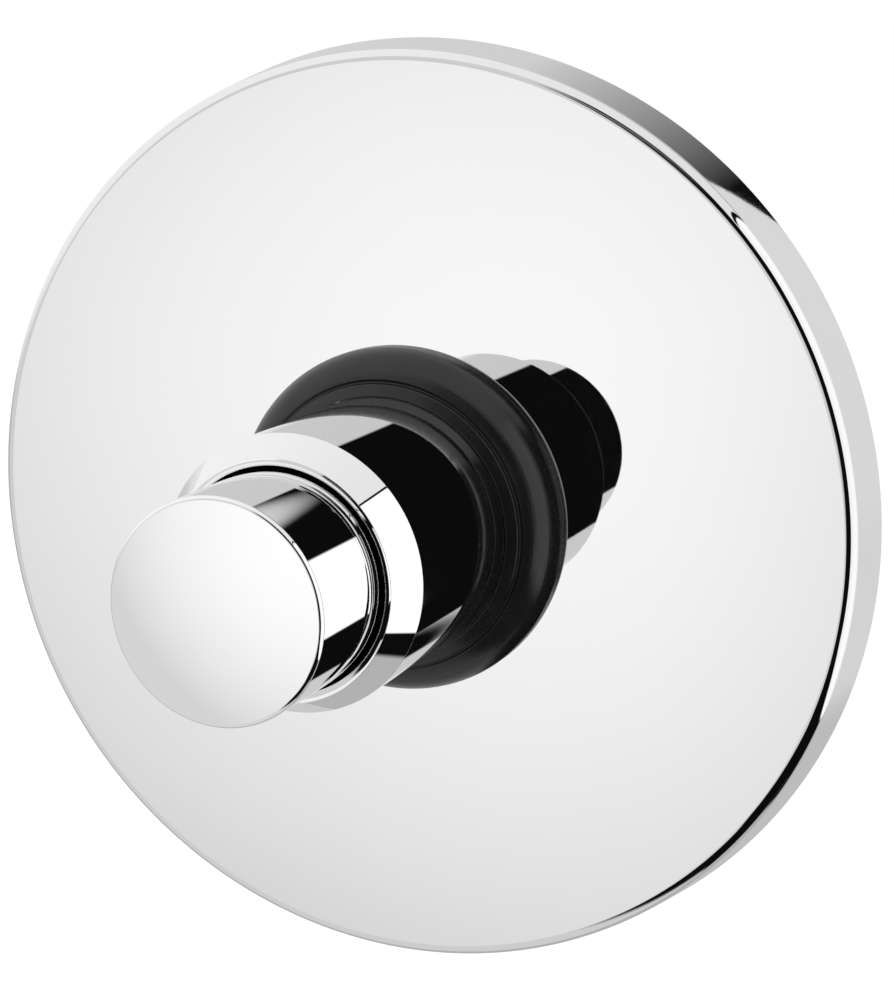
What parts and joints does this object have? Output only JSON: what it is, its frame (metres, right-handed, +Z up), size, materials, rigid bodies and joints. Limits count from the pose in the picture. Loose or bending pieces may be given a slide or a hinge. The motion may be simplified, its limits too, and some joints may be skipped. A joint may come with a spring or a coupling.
{
  "type": "concealed toilet flush valve",
  "caption": "Wall-mounted concealed toilet flush valve: long round push button and sleeve through a round chromed wall plate, with the servo valve body behind the wall.",
  "frame": {"origin": "on the button's axis, in the plane of the finished wall, where the wall plate's rim rests", "axes": "+Z up, -Y out of the wall along the button's axis towards the user, +X to the right seen from the front"},
  "size_m": [0.18, 0.171, 0.18],
  "materials": {
    "plate_chrome": "polished",
    "sleeve_chrome": "polished",
    "button_chrome": "polished",
    "nut_chrome": "plated",
    "black_rubber": "matt",
    "black_plastic": "moulded",
    "white_plastic": "moulded",
    "turned_brass": "turned",
    "cast_brass": "cast and tumbled",
    "stainless": "turned",
    "spring_steel": "drawn wire"
  },
  "bodies": {
    "plate": {"wall_plate": "plate_chrome", "plate_ring": "black_rubber"},
    "button": {"push_button": "button_chrome", "button_carrier": "white_plastic", "push_rod": "stainless", "rod_nut": "stainless"},
    "piston": {"piston": "black_plastic", "seat_washer": "black_rubber", "washer_clamp": "turned_brass", "piston_lip_seal": "black_rubber", "bleed_nozzle": "turned_brass", "pilot_seat": "turned_brass", "pilot_cap": "turned_brass", "pilot_spring": "spring_steel"},
    "pilot": {"pilot_pin": "stainless", "pilot_seal": "black_rubber"},
    "stop_plug": {"stop_plug": "turned_brass", "stop_washer": "black_rubber", "stop_screw": "stainless"},
    "stop_spindle": {"stop_spindle": "turned_brass"},
    "valve": {"sleeve": "sleeve_chrome", "guide_bush": "black_plastic", "button_spring": "spring_steel", "bonnet": "turned_brass", "bonnet_o_ring": "black_rubber", "rod_gland": "turned_brass", "rod_o_rings": "black_rubber", "cartridge_cage": "white_plastic", "cage_o_ring": "black_rubber", "chamber_cup": "white_plastic", "closing_spring": "spring_steel", "valve_body": "cast_brass", "stop_gland": "turned_brass", "stop_o_rings": "black_rubber", "breaker_cage": "white_plastic", "breaker_membrane": "black_rubber", "outlet_nut": "nut_chrome", "outlet_seal": "black_rubber"}
  },
  "joints": [
    {"name": "plate_slide", "type": "slide", "parent": "valve", "child": "plate", "axis": [0, -1, 0], "range_m": [0, 0.033]},
    {"name": "button_press", "type": "slide", "parent": "valve", "child": "button", "axis": [0, 1, 0], "range_m": [0, 0.006], "stiffness_N_per_m": 900, "springref_m": -0.008, "deforming": ["button_spring"]},
    {"name": "piston_lift", "type": "slide", "parent": "valve", "child": "piston", "axis": [0, 1, 0], "range_m": [0, 0.0055], "stiffness_N_per_m": 900, "springref_m": -0.006, "deforming": ["closing_spring"]},
    {"name": "pilot_lift", "type": "slide", "parent": "piston", "child": "pilot", "axis": [0, 1, 0], "range_m": [0, 0.0032], "deforming": ["pilot_spring"]},
    {"name": "stop_travel", "type": "slide", "parent": "valve", "child": "stop_plug", "axis": [0, 1, 0], "range_m": [0, 0.005]},
    {"name": "stop_turn", "type": "hinge", "parent": "stop_plug", "child": "stop_spindle", "pos_m": [0, 0.02, 0.042], "axis": [0, 1, 0], "range_deg": [0, 900]}
  ],
  "couplings": [
    {"joint": "pilot_lift", "follows": "button_press", "ratio": 0.5333},
    {"joint": "stop_turn", "follows": "stop_travel", "rad_per_m": 3141.6}
  ]
}
